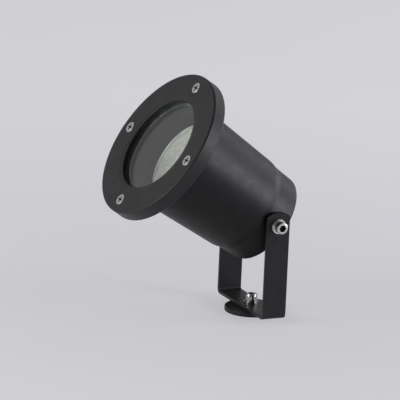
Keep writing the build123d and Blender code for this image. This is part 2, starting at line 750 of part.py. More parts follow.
with BuildPart() as gland_dome_nut:
    with BuildSketch(SIDE) as dome:
        with BuildLine():
            Polyline(
                (COLLAR_DIAMETER / 2 + THREAD_CLEARANCE, collar_start),
                (dome_radius, collar_start),
                (dome_radius, dome_end),
                (DOME_MOUTH / 2, dome_end),
                (DOME_MOUTH / 2, seal_end),
                (COLLAR_DIAMETER / 2 + THREAD_CLEARANCE, seal_end),
                close=True,
            )
        make_face()
        fillet(dome.vertices().sort_by_distance((dome_radius, dome_end))[0], radius=DOME_EDGE)
    revolve(axis=HEAD_AXIS)
keep(gland_dome_nut, "gland_dome_nut")

# Pivot bolts with their washers, one set on each side
sides = (-1, 1)
pivot_flat_washers = flat_washers([pivot_plane(side, arm_outer) for side in sides])
keep(pivot_flat_washers, "pivot_flat_washers")

spring_washer_base = arm_outer + FLAT_WASHER_THICKNESS
pivot_spring_washers = spring_washers([pivot_plane(side, spring_washer_base) for side in sides])
keep(pivot_spring_washers, "pivot_spring_washers")

pivot_bolts = cap_screws([pivot_plane(side, pivot_bolt_seat) for side in sides], PIVOT_BOLT_LENGTH)
keep(pivot_bolts, "pivot_bolts")
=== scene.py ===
import json
import math

import bmesh
import bpy
from mathutils import Matrix, Vector


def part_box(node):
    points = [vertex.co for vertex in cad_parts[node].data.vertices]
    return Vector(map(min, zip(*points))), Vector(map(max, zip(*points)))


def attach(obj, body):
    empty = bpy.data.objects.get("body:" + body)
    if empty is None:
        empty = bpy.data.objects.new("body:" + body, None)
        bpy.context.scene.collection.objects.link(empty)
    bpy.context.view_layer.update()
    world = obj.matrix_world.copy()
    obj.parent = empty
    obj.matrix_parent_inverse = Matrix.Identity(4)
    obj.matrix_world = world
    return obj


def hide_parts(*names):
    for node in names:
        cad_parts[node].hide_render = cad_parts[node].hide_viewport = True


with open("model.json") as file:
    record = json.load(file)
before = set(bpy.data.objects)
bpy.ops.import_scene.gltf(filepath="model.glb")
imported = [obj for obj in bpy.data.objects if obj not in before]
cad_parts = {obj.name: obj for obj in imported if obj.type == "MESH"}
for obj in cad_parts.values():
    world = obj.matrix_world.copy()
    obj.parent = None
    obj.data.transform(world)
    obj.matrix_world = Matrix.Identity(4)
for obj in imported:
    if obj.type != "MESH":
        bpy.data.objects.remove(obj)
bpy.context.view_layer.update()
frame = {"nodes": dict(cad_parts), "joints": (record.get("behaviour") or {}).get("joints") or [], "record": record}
nodes = frame["nodes"]


# Foot: a turned steel disc under the bracket, with a blind tapped hole for the base bolt.
# It carries a satin black powder coat, which sets with a fine orange-peel skin and lies a
# little thinner in places.
FOOT_BLACK = (0.0100, 0.0100, 0.0106, 1.0)
FOOT_THIN = (0.0150, 0.0150, 0.0158, 1.0)
FOOT_GLOSS = 0.22
FOOT_ROUGHNESS = (0.42, 0.5)
COAT_CLOUDS_PER_METRE = 90.0
COAT_SHEEN_PER_METRE = 260.0
PEEL_PER_METRE = 1300.0
PEEL_DEPTH = 0.00006
PEEL_STRENGTH = 0.3
CLOUD_DETAIL = 3.0
FINE_DETAIL = 2.0
TINT_LOW = 0.35
TINT_HIGH = 0.65
SHEEN_LOW = 0.3
SHEEN_HIGH = 0.7


def new_finish(name):
    """A material with its node tree and its shader."""
    material = bpy.data.materials.new(name)
    material.use_nodes = True
    return material, material.node_tree, material.node_tree.nodes["Principled BSDF"]


def grain(tree, per_metre, detail=CLOUD_DETAIL, stretch=(1.0, 1.0, 1.0)):
    """Noise over the piece's own coordinates, from 0 to 1."""
    place = tree.nodes.new("ShaderNodeTexCoord")
    scaling = tree.nodes.new("ShaderNodeMapping")
    scaling.inputs["Scale"].default_value = stretch
    noise = tree.nodes.new("ShaderNodeTexNoise")
    noise.inputs["Scale"].default_value = per_metre
    noise.inputs["Detail"].default_value = detail
    tree.links.new(place.outputs["Object"], scaling.inputs["Vector"])
    tree.links.new(scaling.outputs["Vector"], noise.inputs["Vector"])
    return noise.outputs["Fac"]


def tint(tree, shader, pattern, dark, light, low=TINT_LOW, high=TINT_HIGH):
    """Base colour that goes from dark to light with a pattern."""
    ramp = tree.nodes.new("ShaderNodeValToRGB")
    ramp.color_ramp.elements[0].position = low
    ramp.color_ramp.elements[0].color = dark
    ramp.color_ramp.elements[1].position = high
    ramp.color_ramp.elements[1].color = light
    tree.links.new(pattern, ramp.inputs["Fac"])
    tree.links.new(ramp.outputs["Color"], shader.inputs["Base Color"])


def vary_roughness(tree, shader, pattern, smooth, rough):
    """Roughness that wanders between two values with a pattern."""
    spread = tree.nodes.new("ShaderNodeMapRange")
    spread.inputs["From Min"].default_value = SHEEN_LOW
    spread.inputs["From Max"].default_value = SHEEN_HIGH
    spread.inputs["To Min"].default_value = smooth
    spread.inputs["To Max"].default_value = rough
    tree.links.new(pattern, spread.inputs["Value"])
    tree.links.new(spread.outputs["Result"], shader.inputs["Roughness"])


def emboss(tree, shader, pattern, depth, strength):
    """Fine relief from a pattern, up to the given depth."""
    bump = tree.nodes.new("ShaderNodeBump")
    bump.inputs["Strength"].default_value = strength
    bump.inputs["Distance"].default_value = depth
    tree.links.new(pattern, bump.inputs["Height"])
    tree.links.new(bump.outputs["Normal"], shader.inputs["Normal"])


def dress(material, *names):
    """Give CAD nodes a finish."""
    for name in names:
        nodes[name].data.materials.clear()
        nodes[name].data.materials.append(material)


def powder_coat(name, dark, thin, gloss, smooth, rough):
    """Satin black coat with soft clouds, a wandering sheen and an orange-peel skin."""
    material, tree, shader = new_finish(name)
    shader.inputs["Specular IOR Level"].default_value = gloss
    tint(tree, shader, grain(tree, COAT_CLOUDS_PER_METRE), dark, thin)
    vary_roughness(tree, shader, grain(tree, COAT_SHEEN_PER_METRE), smooth, rough)
    emboss(tree, shader, grain(tree, PEEL_PER_METRE, FINE_DETAIL), PEEL_DEPTH, PEEL_STRENGTH)
    return material


foot_coat = powder_coat("foot_powder_coat", FOOT_BLACK, FOOT_THIN, FOOT_GLOSS, *FOOT_ROUGHNESS)
dress(foot_coat, "foot_disc")


# Bracket: one flat steel strip, bent to a U with the tops of its arms rounded, and powder
# coated like the foot. It lies on the foot and turns on the base bolt.
STRIP_BLACK = (0.0125, 0.0125, 0.0132, 1.0)
STRIP_THIN = (0.0180, 0.0180, 0.0190, 1.0)
STRIP_GLOSS = 0.24
STRIP_ROUGHNESS = (0.38, 0.46)
strip_coat = powder_coat("strip_powder_coat", STRIP_BLACK, STRIP_THIN, STRIP_GLOSS, *STRIP_ROUGHNESS)
dress(strip_coat, "u_bracket")


# Base bolt: a stainless socket cap screw on a split spring washer and a flat washer. The screw is
# turned and the washers are stamped. Both get darker copies of the stainless: painted shade, for the dark they sit
# in and reflect low on the bracket.
BASE_SHADED_GREY = (0.29, 0.29, 0.275, 1.0)
BASE_SHADED_PALE = (0.42, 0.42, 0.40, 1.0)
BASE_ROUGHNESS = (0.08, 0.16)
WASHER_SHADED_GREY = (0.16, 0.165, 0.14, 1.0)
WASHER_SHADED_PALE = (0.28, 0.285, 0.25, 1.0)
WASHER_ROUGHNESS = (0.18, 0.3)
# Recess colours: a near-black steel for the insides of sockets and cross recesses, painted shade for the dark that
# fills them.
RECESS_SHADE_BLACK = (0.030, 0.030, 0.028, 1.0)
RECESS_SHADE_GREY = (0.060, 0.060, 0.056, 1.0)
RECESS_SHADE_ROUGHNESS = (0.4, 0.55)
STEEL_MARKS_PER_METRE = 1600.0
STEEL_MARKS_DETAIL = 4.0
STEEL_MARKS_STRETCH = (1.0, 1.0, 3.0)
STEEL_TOOTH_PER_METRE = 5200.0
STEEL_TOOTH_DEPTH = 0.00002
STEEL_TOOTH_STRENGTH = 0.3
CAP_HEAD_RADIUS = 0.0035
CAP_HEAD_HEIGHT = 0.004
CAP_HEAD_EDGE = 0.0004
CAP_EDGE_MIDDLE = 0.00012
CAP_SHANK_RADIUS = 0.002
SOCKET_SIDES = 6
SOCKET_CORNER = 0.0023
SOCKET_DEPTH = 0.0024
SOCKET_TAPER = 0.75
SCREW_SEGMENTS = 48
SHARP_ANGLE = math.radians(32.0)
MERGE_DISTANCE = 1e-7


def bare_metal(name, dark, pale, smooth, rough):
    """Bare or plated metal with fine marks across it."""
    material, tree, shader = new_finish(name)
    shader.inputs["Metallic"].default_value = 1.0
    marks = grain(tree, STEEL_MARKS_PER_METRE, STEEL_MARKS_DETAIL, STEEL_MARKS_STRETCH)
    tint(tree, shader, marks, dark, pale)
    vary_roughness(tree, shader, marks, smooth, rough)
    tooth = grain(tree, STEEL_TOOTH_PER_METRE, FINE_DETAIL)
    emboss(tree, shader, tooth, STEEL_TOOTH_DEPTH, STEEL_TOOTH_STRENGTH)
    return material


def new_piece(name, shape, body, slot, *materials):
    """Make a finished piece of a shape, smooth up to its sharp edges, riding on a body."""
    bmesh.ops.remove_doubles(shape, verts=shape.verts, dist=MERGE_DISTANCE)
    bmesh.ops.recalc_face_normals(shape, faces=shape.faces)
    mesh = bpy.data.meshes.new(name)
    shape.to_mesh(mesh)
    shape.free()
    mesh.shade_smooth()
    mesh.set_sharp_from_angle(angle=SHARP_ANGLE)
    for material in materials:
        mesh.materials.append(material)
    piece = bpy.data.objects.new(name, mesh)
    bpy.context.scene.collection.objects.link(piece)
    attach(piece, body)
    return piece


def stand(shape, place, facing, side):
    """Put a shape that was made upright at a place, facing along a direction."""
    axes = Matrix((side, facing.cross(side), facing)).transposed().to_4x4()
    bmesh.ops.transform(shape, matrix=Matrix.Translation(place) @ axes, verts=shape.verts)


def next_ring(shape, ring, radius, height):
    """Draw an edge loop out to a round one of a given radius and height, and return that."""
    drawn = bmesh.ops.extrude_edge_only(shape, edges=ring)["geom"]
    for part in drawn:
        if isinstance(part, bmesh.types.BMVert):
            part.co = (part.co.xy.normalized() * radius).to_3d()
            part.co.z = height
    return [part for part in drawn if isinstance(part, bmesh.types.BMEdge)]


def turn_screw(shape, recess, depth, taper, profile):
    """Turn a screw round the flat outline of its drive recess, which is then sunk into it.
    The profile runs from the edge of the face, at height 0, down to the tip."""
    outline = [e for e in shape.edges if e.is_boundary]
    bmesh.ops.bisect_edges(shape, edges=outline, cuts=SCREW_SEGMENTS // len(outline) - 1)
    ring = next_ring(shape, [e for e in shape.edges if e.is_boundary], *profile[0])
    sunk = bmesh.ops.extrude_face_region(shape, geom=recess)["geom"]
    bmesh.ops.delete(shape, geom=[f for f in recess if f.is_valid], context="FACES")
    floor_verts = [part for part in sunk if isinstance(part, bmesh.types.BMVert)]
    bmesh.ops.scale(shape, vec=(taper, taper, 1.0), verts=floor_verts)
    bmesh.ops.translate(shape, vec=(0.0, 0.0, -depth), verts=floor_verts)
    # The sunk walls and floor take the second material, the recess's painted shade.
    for vert in floor_verts:
        for face in vert.link_faces:
            face.material_index = 1
    for radius, height in profile[1:]:
        ring = next_ring(shape, ring, radius, height)
    bmesh.ops.edgeloop_fill(shape, edges=ring)


def cap_screw(shape, length):
    """Turn one socket cap screw, face up at height 0."""
    socket = bmesh.ops.create_circle(shape, cap_ends=True, segments=SOCKET_SIDES, radius=SOCKET_CORNER)
    recess = list(socket["verts"][0].link_faces)
    profile = [
        (CAP_HEAD_RADIUS - CAP_HEAD_EDGE, 0.0),
        (CAP_HEAD_RADIUS - CAP_EDGE_MIDDLE, -CAP_EDGE_MIDDLE),
        (CAP_HEAD_RADIUS, -CAP_HEAD_EDGE),
        (CAP_HEAD_RADIUS, -CAP_HEAD_HEIGHT),
        (CAP_SHANK_RADIUS, -CAP_HEAD_HEIGHT),
        (CAP_SHANK_RADIUS, CAP_HEAD_EDGE - length),
        (CAP_SHANK_RADIUS - CAP_HEAD_EDGE, -length),
    ]
    turn_screw(shape, recess, SOCKET_DEPTH, SOCKET_TAPER, profile)


# Darker copies of the steel for the screw and washers at the base: painted shade.
base_shaded_steel = bare_metal("stainless_painted_shade", BASE_SHADED_GREY, BASE_SHADED_PALE, *BASE_ROUGHNESS)
washer_shaded_steel = bare_metal("washers_painted_shade", WASHER_SHADED_GREY, WASHER_SHADED_PALE, *WASHER_ROUGHNESS)
# A near-black copy of the steel for the recesses: painted shade.
recess_painted_shade = bare_metal("painted_shade_recess", RECESS_SHADE_BLACK, RECESS_SHADE_GREY, *RECESS_SHADE_ROUGHNESS)
dress(washer_shaded_steel, "base_flat_washer", "base_spring_washer")

bolt_low, bolt_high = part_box("base_bolt")
up = Vector((0.0, 0.0, 1.0))
across = Vector((1.0, 0.0, 0.0))
bolt = bmesh.new()
cap_screw(bolt, bolt_high[2] - bolt_low[2])
stand(bolt, up * bolt_high[2], up, across)
base_bolt = new_piece("base_cap_screw", bolt, "foot", "stainless", base_shaded_steel, recess_painted_shade)
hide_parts("base_bolt")


# Lamp housing: an aluminium can, cast in one piece with its flange, its pivot pads and the
# posts inside, then powder coated. Its coat is blacker than the one on the foot.
CAST_BLACK = (0.0045, 0.0045, 0.0050, 1.0)
CAST_THIN = (0.0080, 0.0080, 0.0088, 1.0)
CAST_GLOSS = 0.235
CAST_ROUGHNESS = (0.41, 0.49)
cast_coat = powder_coat("casting_powder_coat", CAST_BLACK, CAST_THIN, CAST_GLOSS, *CAST_ROUGHNESS)
dress(cast_coat, "lamp_housing")


# Cable gland: black nylon mouldings, screwed through the rear wall on a rubber ring, with a
# locknut inside. The dome nut has grip ribs, and it squeezes the rubber seal inside it.
NYLON_BLACK = (0.0140, 0.0140, 0.0145, 1.0)
NYLON_GREY = (0.0220, 0.0220, 0.0225, 1.0)
NYLON_ROUGHNESS = (0.36, 0.46)
RUBBER_BLACK = (0.0090, 0.0090, 0.0090, 1.0)
RUBBER_GREY = (0.0160, 0.0160, 0.0160, 1.0)
RUBBER_ROUGHNESS = (0.6, 0.75)
MOULD_CLOUDS_PER_METRE = 160.0
MOULD_GRAIN_PER_METRE = 3400.0
MOULD_GRAIN_DEPTH = 0.00003
MOULD_GRAIN_STRENGTH = 0.4
RIB_COUNT = 18
RIB_SEGMENTS = 6
GROOVE_SEGMENTS = 3
RIB_DEPTH = 0.0005
RIB_RUNOUT = 0.0006
NUT_CHAMFER = 0.0003
NUT_ROUNDING = 0.0012
NUT_ROUND_STEPS = 4
NUT_END_WALL = 0.0016
NUT_MOUTH_RADIUS = 0.0039
NUT_BORE_RADIUS = 0.00565


def moulded(name, dark, light, smooth, rough):
    """A moulded finish with a fine grain from its mould."""
    material, tree, shader = new_finish(name)
    clouds = grain(tree, MOULD_CLOUDS_PER_METRE)
    tint(tree, shader, clouds, dark, light)
    vary_roughness(tree, shader, clouds, smooth, rough)
    skin = grain(tree, MOULD_GRAIN_PER_METRE, FINE_DETAIL)
    emboss(tree, shader, skin, MOULD_GRAIN_DEPTH, MOULD_GRAIN_STRENGTH)
    return material


pivot = Vector(next(j["pos_m"] for j in frame["joints"] if j["name"] == "head_tilt"))
cable_entry = next(m for m in frame["record"]["mounts"] if m["name"] == "cable_entry")
forward = -Vector(cable_entry["axis"]).normalized()


def along_head(node):
    """Where a node starts and ends along the head's axis, and its largest radius about it."""
    places = [v.co - pivot for v in nodes[node].data.vertices]
    ahead = [p.dot(forward) for p in places]
    radius = max((p - forward * p.dot(forward)).length for p in places)
    return min(ahead), max(ahead), radius


def press_grooves(shape, ring):
    """Press the grooves between the grip ribs into an edge loop."""
    steps_per_radian = RIB_COUNT * RIB_SEGMENTS / math.tau
    verts = {v for edge in ring for v in edge.verts}
    pressed = []
    for vert in verts:
        step = round(math.atan2(vert.co.y, vert.co.x) * steps_per_radian)
        if step % RIB_SEGMENTS < GROOVE_SEGMENTS:
            pressed.append(vert)
    shrink = 1.0 - RIB_DEPTH / max(v.co.xy.length for v in verts)
    bmesh.ops.scale(shape, vec=(shrink, shrink, 1.0), verts=pressed)


nylon = moulded("black_nylon", NYLON_BLACK, NYLON_GREY, *NYLON_ROUGHNESS)
rubber = moulded("black_rubber", RUBBER_BLACK, RUBBER_GREY, *RUBBER_ROUGHNESS)
dress(nylon, "gland_body", "gland_locknut")
dress(rubber, "gland_oring", "gland_seal")

nut_end, nut_start, nut_radius = along_head("gland_dome_nut")
nut_length = nut_start - nut_end
nut_shoulder = nut_length - NUT_ROUNDING
nut = bmesh.new()
bmesh.ops.create_circle(nut, segments=RIB_COUNT * RIB_SEGMENTS, radius=nut_radius - NUT_CHAMFER)
open_ring = list(nut.edges)
ring = next_ring(nut, open_ring, nut_radius, NUT_CHAMFER)
rib_foot = next_ring(nut, ring, nut_radius, NUT_CHAMFER + RIB_RUNOUT)
rib_top = next_ring(nut, rib_foot, nut_radius, nut_shoulder - RIB_RUNOUT)
ring = next_ring(nut, rib_top, nut_radius, nut_shoulder)
for step in range(1, NUT_ROUND_STEPS + 1):
    turn = math.radians(90.0) * step / NUT_ROUND_STEPS
    radius = nut_radius - NUT_ROUNDING * (1.0 - math.cos(turn))
    ring = next_ring(nut, ring, radius, nut_shoulder + NUT_ROUNDING * math.sin(turn))
ring = next_ring(nut, ring, NUT_MOUTH_RADIUS, nut_length)
ring = next_ring(nut, ring, NUT_MOUTH_RADIUS, nut_length - NUT_END_WALL)
ring = next_ring(nut, ring, NUT_BORE_RADIUS, nut_length - NUT_END_WALL)
ring = next_ring(nut, ring, NUT_BORE_RADIUS, 0.0)
bmesh.ops.bridge_loops(nut, edges=open_ring + ring)
press_grooves(nut, rib_foot)
press_grooves(nut, rib_top)
stand(nut, pivot + forward * nut_start, -forward, across)
dome_nut = new_piece("dome_nut_ribbed", nut, "head", "black_nylon", nylon)
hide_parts("gland_dome_nut")


# Inside the can: a ceramic lampholder on a bent steel plate, a nylon terminal block with its
# leads in woven glass sleeves, and the earth screw with its tag. The steel is zinc plated, and
# the terminal screws and the pins of the lamp are nickelled brass.
CERAMIC_WHITE = (0.74, 0.72, 0.67, 1.0)
CERAMIC_SHADE = (0.66, 0.64, 0.59, 1.0)
CERAMIC_ROUGHNESS = (0.35, 0.5)
BLOCK_WHITE = (0.70, 0.69, 0.65, 1.0)
BLOCK_SHADE = (0.63, 0.62, 0.58, 1.0)
BLOCK_ROUGHNESS = (0.4, 0.5)
SLEEVE_WHITE = (0.70, 0.69, 0.66, 1.0)
SLEEVE_SHADE = (0.50, 0.49, 0.46, 1.0)
SLEEVE_ROUGHNESS = 0.8
ZINC_BLUE = (0.50, 0.51, 0.52, 1.0)
ZINC_PALE = (0.64, 0.65, 0.65, 1.0)
ZINC_ROUGHNESS = (0.28, 0.42)
BRASS_GREY = (0.56, 0.53, 0.47, 1.0)
BRASS_PALE = (0.68, 0.65, 0.58, 1.0)
BRASS_ROUGHNESS = (0.2, 0.32)
WEAVE_PER_METRE = 1800.0
WEAVE_DISTORTION = 1.5
WEAVE_LOW = 0.2
WEAVE_HIGH = 0.8
WEAVE_DEPTH = 0.00008
WEAVE_STRENGTH = 0.6


def woven_sleeve(name):
    """Glass sleeve with fine slanting threads."""
    material, tree, shader = new_finish(name)
    place = tree.nodes.new("ShaderNodeTexCoord")
    weave = tree.nodes.new("ShaderNodeTexWave")
    weave.wave_type = "BANDS"
    weave.bands_direction = "DIAGONAL"
    weave.inputs["Scale"].default_value = WEAVE_PER_METRE
    weave.inputs["Distortion"].default_value = WEAVE_DISTORTION
    tree.links.new(place.outputs["Object"], weave.inputs["Vector"])
    threads = weave.outputs["Fac"]
    tint(tree, shader, threads, SLEEVE_SHADE, SLEEVE_WHITE, WEAVE_LOW, WEAVE_HIGH)
    emboss(tree, shader, threads, WEAVE_DEPTH, WEAVE_STRENGTH)
    shader.inputs["Roughness"].default_value = SLEEVE_ROUGHNESS
    return material


zinc = bare_metal("zinc_plate", ZINC_BLUE, ZINC_PALE, *ZINC_ROUGHNESS)
nickel = bare_metal("nickelled_brass", BRASS_GREY, BRASS_PALE, *BRASS_ROUGHNESS)
ceramic = moulded("fired_ceramic", CERAMIC_SHADE, CERAMIC_WHITE, *CERAMIC_ROUGHNESS)
white_nylon = moulded("white_nylon", BLOCK_SHADE, BLOCK_WHITE, *BLOCK_ROUGHNESS)
dress(ceramic, "lampholder", "lamp_cap")
dress(white_nylon, "terminal_block")
dress(woven_sleeve("woven_lead_sleeve"), "lamp_leads")
dress(zinc, "holder_bracket", "holder_screws", "bracket_screws", "earth_screw", "earth_tag")
dress(nickel, "terminal_screws", "lamp_pins")


# Lamp: a reflector of pale pressed glass, and a glass cover with a pebbled front that is glued
# inside its rim. It twists into the holder on its two pins.
REFLECTOR_PEBBLE_SHADE = (0.90, 0.92, 0.87, 1.0)
REFLECTOR_PALE = (0.97, 0.97, 0.93, 1.0)
REFLECTOR_ROUGHNESS = (0.5, 0.6)
COVER_PEBBLE_SHADE = (0.78, 0.80, 0.72, 1.0)
COVER_PALE = (1.0, 1.0, 0.94, 1.0)
COVER_ROUGHNESS = (0.3, 0.45)
GLASS_IOR = 1.5
COVER_RINGS = 64
COVER_STEPS = 216
PEBBLE_SIZE = 0.0026
PEBBLE_HEIGHT = 0.00045
PEBBLE_MID_LEVEL = 0.5
PEBBLE_SHADE_LOW = 0.1
PEBBLE_SHADE_HIGH = 0.9


def pressed_glass(name, dark, pale, smooth, rough):
    """Pale pressed glass, painted a little darker between its pebbles: painted shade in the hollows."""
    material, tree, shader = new_finish(name)
    place = tree.nodes.new("ShaderNodeTexCoord")
    pebbles = tree.nodes.new("ShaderNodeTexVoronoi")
    pebbles.inputs["Scale"].default_value = 1.0 / PEBBLE_SIZE
    tree.links.new(place.outputs["Object"], pebbles.inputs["Vector"])
    spread = pebbles.outputs["Distance"]
    # Darker towards the pebbles' edges: painted shade between them.
    tint(tree, shader, spread, pale, dark, PEBBLE_SHADE_LOW, PEBBLE_SHADE_HIGH)
    vary_roughness(tree, shader, spread, smooth, rough)
    shader.inputs["IOR"].default_value = GLASS_IOR
    return material


reflector_glass = pressed_glass("reflector_glass", REFLECTOR_PEBBLE_SHADE, REFLECTOR_PALE, *REFLECTOR_ROUGHNESS)
cover_glass = pressed_glass("pebbled_glass", COVER_PEBBLE_SHADE, COVER_PALE, *COVER_ROUGHNESS)
dress(reflector_glass, "lamp_reflector")

cover_back, cover_front, cover_radius = along_head("lamp_cover")
cover_height = cover_front - cover_back - PEBBLE_HEIGHT
cover = bmesh.new()
hub = cover.verts.new((0.0, 0.0, cover_height))
edge_point = cover.verts.new((cover_radius, 0.0, cover_height))
spoke = cover.edges.new((hub, edge_point))
bmesh.ops.subdivide_edges(cover, edges=[spoke], cuts=COVER_RINGS - 1)
bmesh.ops.spin(
    cover,
    geom=list(cover.verts) + list(cover.edges),
    cent=(0.0, 0.0, 0.0),
    axis=(0.0, 0.0, 1.0),
    angle=math.tau,
    steps=COVER_STEPS,
    use_merge=True,
)
bmesh.ops.remove_doubles(cover, verts=cover.verts, dist=MERGE_DISTANCE)
rim = [e for e in cover.edges if e.is_boundary]
back_rim = next_ring(cover, rim, cover_radius, 0.0)
bmesh.ops.edgeloop_fill(cover, edges=back_rim)
stand(cover, pivot + forward * cover_back, forward, across)
lamp_front = new_piece("lamp_cover_pebbled", cover, "head", "lamp_cover", cover_glass)
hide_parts("lamp_cover")
pebbled = lamp_front.vertex_groups.new(name="pebbled_front")
cover_middle = cover_back + cover_height / 2
front_verts = [
    v.index
    for v in lamp_front.data.vertices
    if (v.co - pivot).dot(forward) > cover_middle
]
pebbled.add(front_verts, 1.0, "REPLACE")
pebble_map = bpy.data.textures.new("pebbles", "VORONOI")
pebble_map.noise_scale = PEBBLE_SIZE
pebbling = lamp_front.modifiers.new("pebbling", "DISPLACE")
pebbling.texture = pebble_map
pebbling.texture_coords = "LOCAL"
pebbling.vertex_group = pebbled.name
pebbling.mid_level = PEBBLE_MID_LEVEL
pebbling.strength = PEBBLE_HEIGHT


# Front glass: a flat ground disc of clear toughened glass. It lies on a grey silicone ring in
# the housing, and a black rubber ring seals the flange around it.
GLASS_TINT = (0.97, 0.985, 0.975, 1.0)
GLASS_ROUGHNESS = (0.0, 0.012)
SMEARS_PER_METRE = 40.0
SILICONE_PALE = (0.26, 0.29, 0.31, 1.0)
SILICONE_SHADE = (0.21, 0.24, 0.26, 1.0)
SILICONE_ROUGHNESS = (0.5, 0.62)
front_glass, glass_tree, glass_shader = new_finish("clear_toughened_glass")
glass_shader.inputs["Base Color"].default_value = GLASS_TINT
glass_shader.inputs["Transmission Weight"].default_value = 1.0
glass_shader.inputs["IOR"].default_value = GLASS_IOR
vary_roughness(glass_tree, glass_shader, grain(glass_tree, SMEARS_PER_METRE), *GLASS_ROUGHNESS)
silicone = moulded("pale_silicone", SILICONE_SHADE, SILICONE_PALE, *SILICONE_ROUGHNESS)
dress(front_glass, "lens_glass")
dress(silicone, "lens_gasket")
dress(rubber, "flange_gasket")


# Bezel: a cast and turned aluminium ring that caps the flange and holds the glass under its
# lip. It is powder coated too, a shade lighter than the housing.
BEZEL_BLACK = (0.0195, 0.0195, 0.0204, 1.0)
BEZEL_THIN = (0.0250, 0.0250, 0.0260, 1.0)
BEZEL_GLOSS = 0.26
BEZEL_ROUGHNESS = (0.4, 0.48)
bezel_coat = powder_coat("bezel_powder_coat", BEZEL_BLACK, BEZEL_THIN, BEZEL_GLOSS, *BEZEL_ROUGHNESS)
dress(bezel_coat, "front_bezel")


# Bezel screws: four stainless countersunk screws with a cross recess, sunk level with the
# bezel, which clamp it to the housing.
STEEL_GREY = (0.52, 0.52, 0.50, 1.0)
STEEL_PALE = (0.70, 0.70, 0.68, 1.0)
STEEL_ROUGHNESS = (0.2, 0.3)
SCREW_COUNT = 4
SCREW_HEAD_RADIUS = 0.0035
SCREW_SHANK_RADIUS = 0.0017
SCREW_HEAD_DEPTH = 0.00175
SCREW_RIM = 0.0002
CROSS_LENGTH = 0.0040
CROSS_WIDTH = 0.0010
CROSS_DEPTH = 0.0014
CROSS_TAPER = 0.6
CROSS_CELLS = 3


def cross_screw(shape, length):
    """Turn one countersunk cross-head screw, face up at height 0."""
    reach = CROSS_LENGTH / 2
    bmesh.ops.create_grid(shape, x_segments=CROSS_CELLS, y_segments=CROSS_CELLS, size=reach)
    narrow = CROSS_WIDTH / (CROSS_LENGTH / CROSS_CELLS)
    inner_x = [v for v in shape.verts if abs(v.co.x) < reach / 2]
    inner_y = [v for v in shape.verts if abs(v.co.y) < reach / 2]
    bmesh.ops.scale(shape, vec=(narrow, 1.0, 1.0), verts=inner_x)
    bmesh.ops.scale(shape, vec=(1.0, narrow, 1.0), verts=inner_y)
    recess = []
    for face in shape.faces:
        middle = face.calc_center_median()
        if min(abs(middle.x), abs(middle.y)) < CROSS_WIDTH / 4:
            recess.append(face)
    profile = [
        (SCREW_HEAD_RADIUS - SCREW_RIM, 0.0),
        (SCREW_HEAD_RADIUS, -SCREW_RIM),
        (SCREW_SHANK_RADIUS, -SCREW_HEAD_DEPTH),
        (SCREW_SHANK_RADIUS, SCREW_RIM - length),
        (SCREW_SHANK_RADIUS - SCREW_RIM, -length),
    ]
    turn_screw(shape, recess, CROSS_DEPTH, CROSS_TAPER, profile)


bolt_steel = bare_metal("turned_stainless", STEEL_GREY, STEEL_PALE, *STEEL_ROUGHNESS)
screw_tip, screw_face, screw_reach = along_head("bezel_screws")
screw_circle = screw_reach - SCREW_HEAD_RADIUS
screws = bmesh.new()
cross_screw(screws, screw_face - screw_tip)
bmesh.ops.translate(screws, vec=(screw_circle, 0.0, 0.0), verts=screws.verts)
bmesh.ops.spin(
    screws,
    geom=list(screws.verts) + list(screws.edges) + list(screws.faces),
    cent=(0.0, 0.0, 0.0),
    axis=(0.0, 0.0, 1.0),
    angle=math.tau * (SCREW_COUNT - 1) / SCREW_COUNT,
    steps=SCREW_COUNT - 1,
    use_duplicate=True,
)
stand(screws, pivot + forward * screw_face, forward, across)
bezel_screws = new_piece("bezel_cross_screws", screws, "head", "stainless", bolt_steel, recess_painted_shade)
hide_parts("bezel_screws")


# Pivot bolts: cap screws of the same size as at the base, in the plain stainless, one through each arm
# into the pads of the housing, on brighter washers. The head tilts on them, and they clamp it.
BRIGHT_GREY = (0.52, 0.52, 0.51, 1.0)
BRIGHT_PALE = (0.74, 0.74, 0.73, 1.0)
BRIGHT_ROUGHNESS = (0.06, 0.12)
washer_bright = bare_metal("bright_washers", BRIGHT_GREY, BRIGHT_PALE, *BRIGHT_ROUGHNESS)
dress(washer_bright, "pivot_flat_washers", "pivot_spring_washers")
head_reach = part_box("pivot_bolts")[1][0]
tip_reach = min(abs(v.co.x) for v in nodes["pivot_bolts"].data.vertices)
pivot_screws = bmesh.new()
for facing in (across, -across):
    one = bmesh.new()
    cap_screw(one, head_reach - tip_reach)
    stand(one, pivot + facing * head_reach, facing, up)
    half = bpy.data.meshes.new("pivot_screw")
    one.to_mesh(half)
    one.free()
    pivot_screws.from_mesh(half)
    bpy.data.meshes.remove(half)
pivot_bolts = new_piece("pivot_cap_screws", pivot_screws, "head", "stainless", bolt_steel, recess_painted_shade)
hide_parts("pivot_bolts")


# Floor and light: a pale studio table in a pale room that is darker overhead and on the near
# side. One softbox stands low behind the lamp to the right, a wide weak one straight behind it,
# and one low in front, which lights the face and the lamp behind the glass.
FLOOR_PALE = (0.74, 0.74, 0.77, 1.0)
FLOOR_SHADE = (0.72, 0.72, 0.75, 1.0)
FLOOR_GLOW = (0.86, 0.86, 0.90, 1.0)
NEAR_GLOW_SHARE = 0.46
FAR_GLOW_SHARE = 0.61
NEAR_DISTANCE = 0.08
FAR_DISTANCE = 0.5
FLOOR_RADIUS = 2.5
FLOOR_SEGMENTS = 96
FLOOR_ROUGHNESS = 0.9
FLOOR_CLOUDS_PER_METRE = 3.0
ROOM_PALE = (0.53, 0.53, 0.545, 1.0)
ROOM_DARK = (0.055, 0.055, 0.057, 1.0)
ROOM_PALE_HEIGHT = 0.25
ROOM_DARK_HEIGHT = 0.85
NEAR_SIDE = (0.9, -0.435, 0.0)
NEAR_SIDE_START = 0.3
NEAR_SIDE_FULL = 0.9
NEAR_SIDE_LIGHT = 0.4
